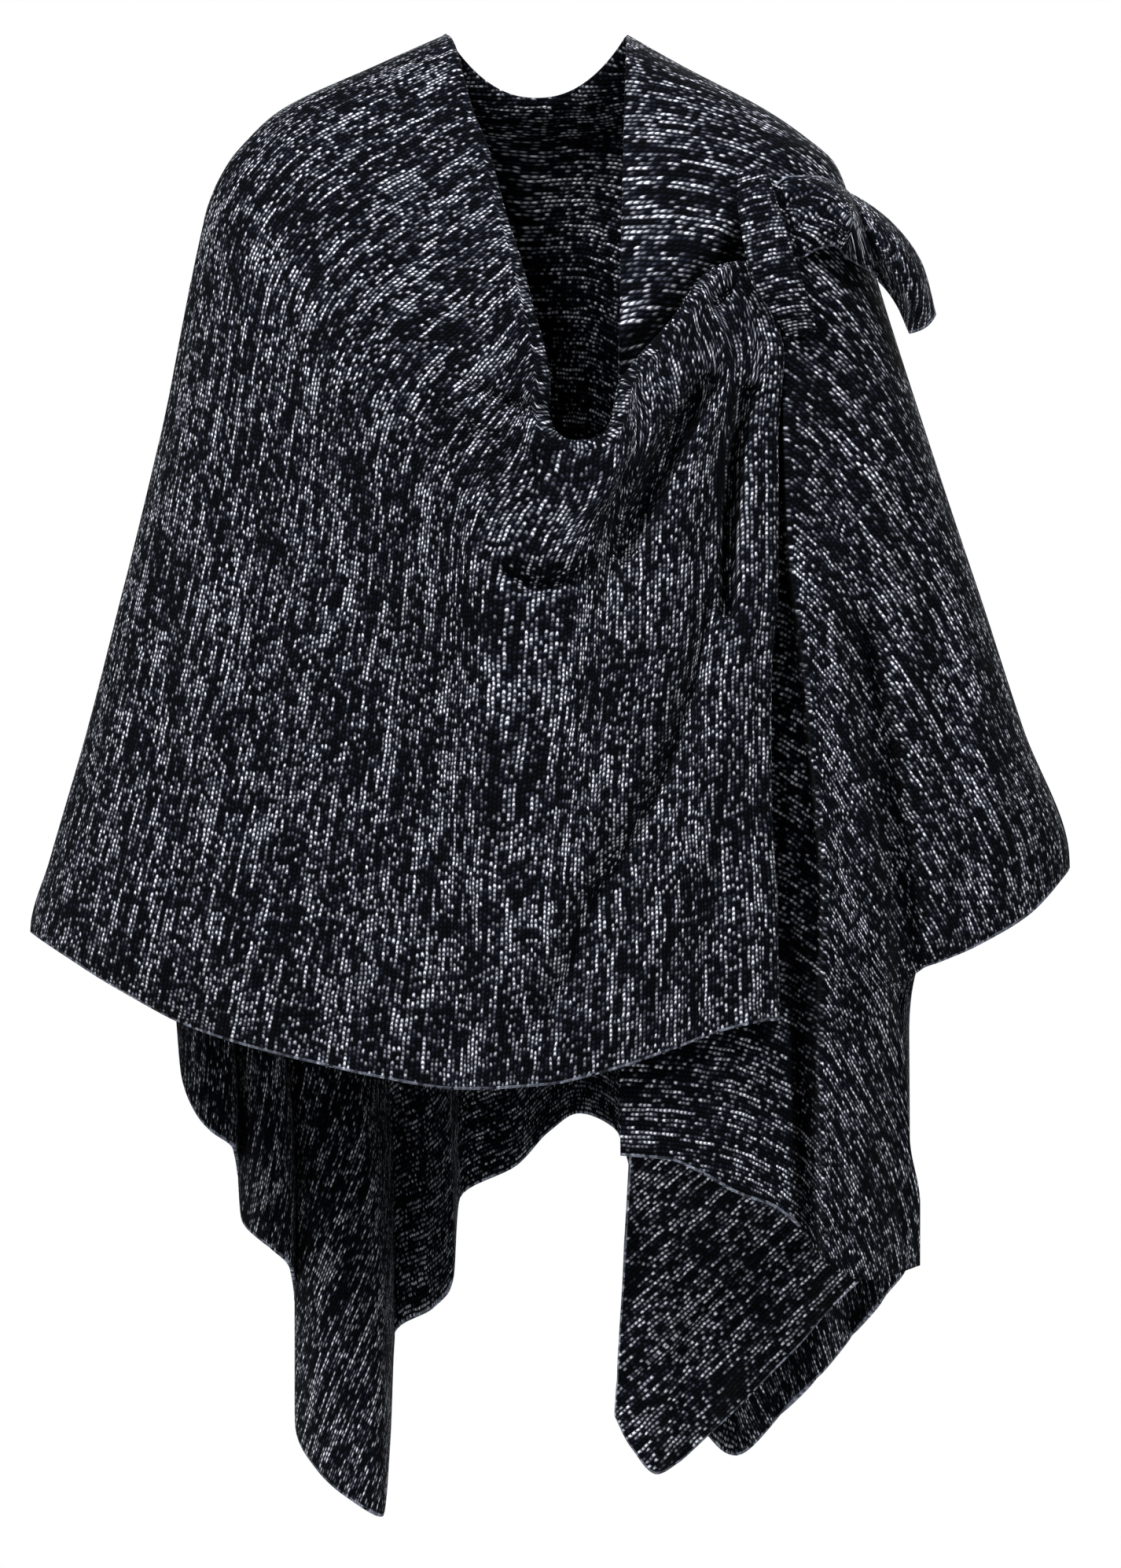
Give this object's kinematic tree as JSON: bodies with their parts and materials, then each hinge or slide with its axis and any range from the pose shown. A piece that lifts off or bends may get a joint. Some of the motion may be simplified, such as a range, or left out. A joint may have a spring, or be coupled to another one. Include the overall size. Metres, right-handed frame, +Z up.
{
  "type": "ruana wrap",
  "caption": "Ruana wrap in marled knit, worn, one front drawn across the chest and its corner pulled through a loop at the left shoulder.",
  "frame": {"origin": "midway between the two neck points, where the wearer's shoulders hold the garment", "axes": "+Z up, +X to the wearer's left, -Y the way the wearer faces"},
  "size_m": [0.7274, 0.3169, 1.037],
  "materials": {
    "back_knit": "matt marled knit",
    "front_wrap_knit": "matt marled knit",
    "front_left_knit": "matt marled knit",
    "front_left_corner_knit": "matt marled knit",
    "wrap_end_knit": "matt marled knit",
    "loop_knit": "matt marled knit"
  },
  "bodies": {
    "root": {"back": "back_knit", "front_wrap": "front_wrap_knit", "front_left": "front_left_knit", "front_left_corner": "front_left_corner_knit", "wrap_end": "wrap_end_knit", "loop": "loop_knit"}
  },
  "joints": []
}
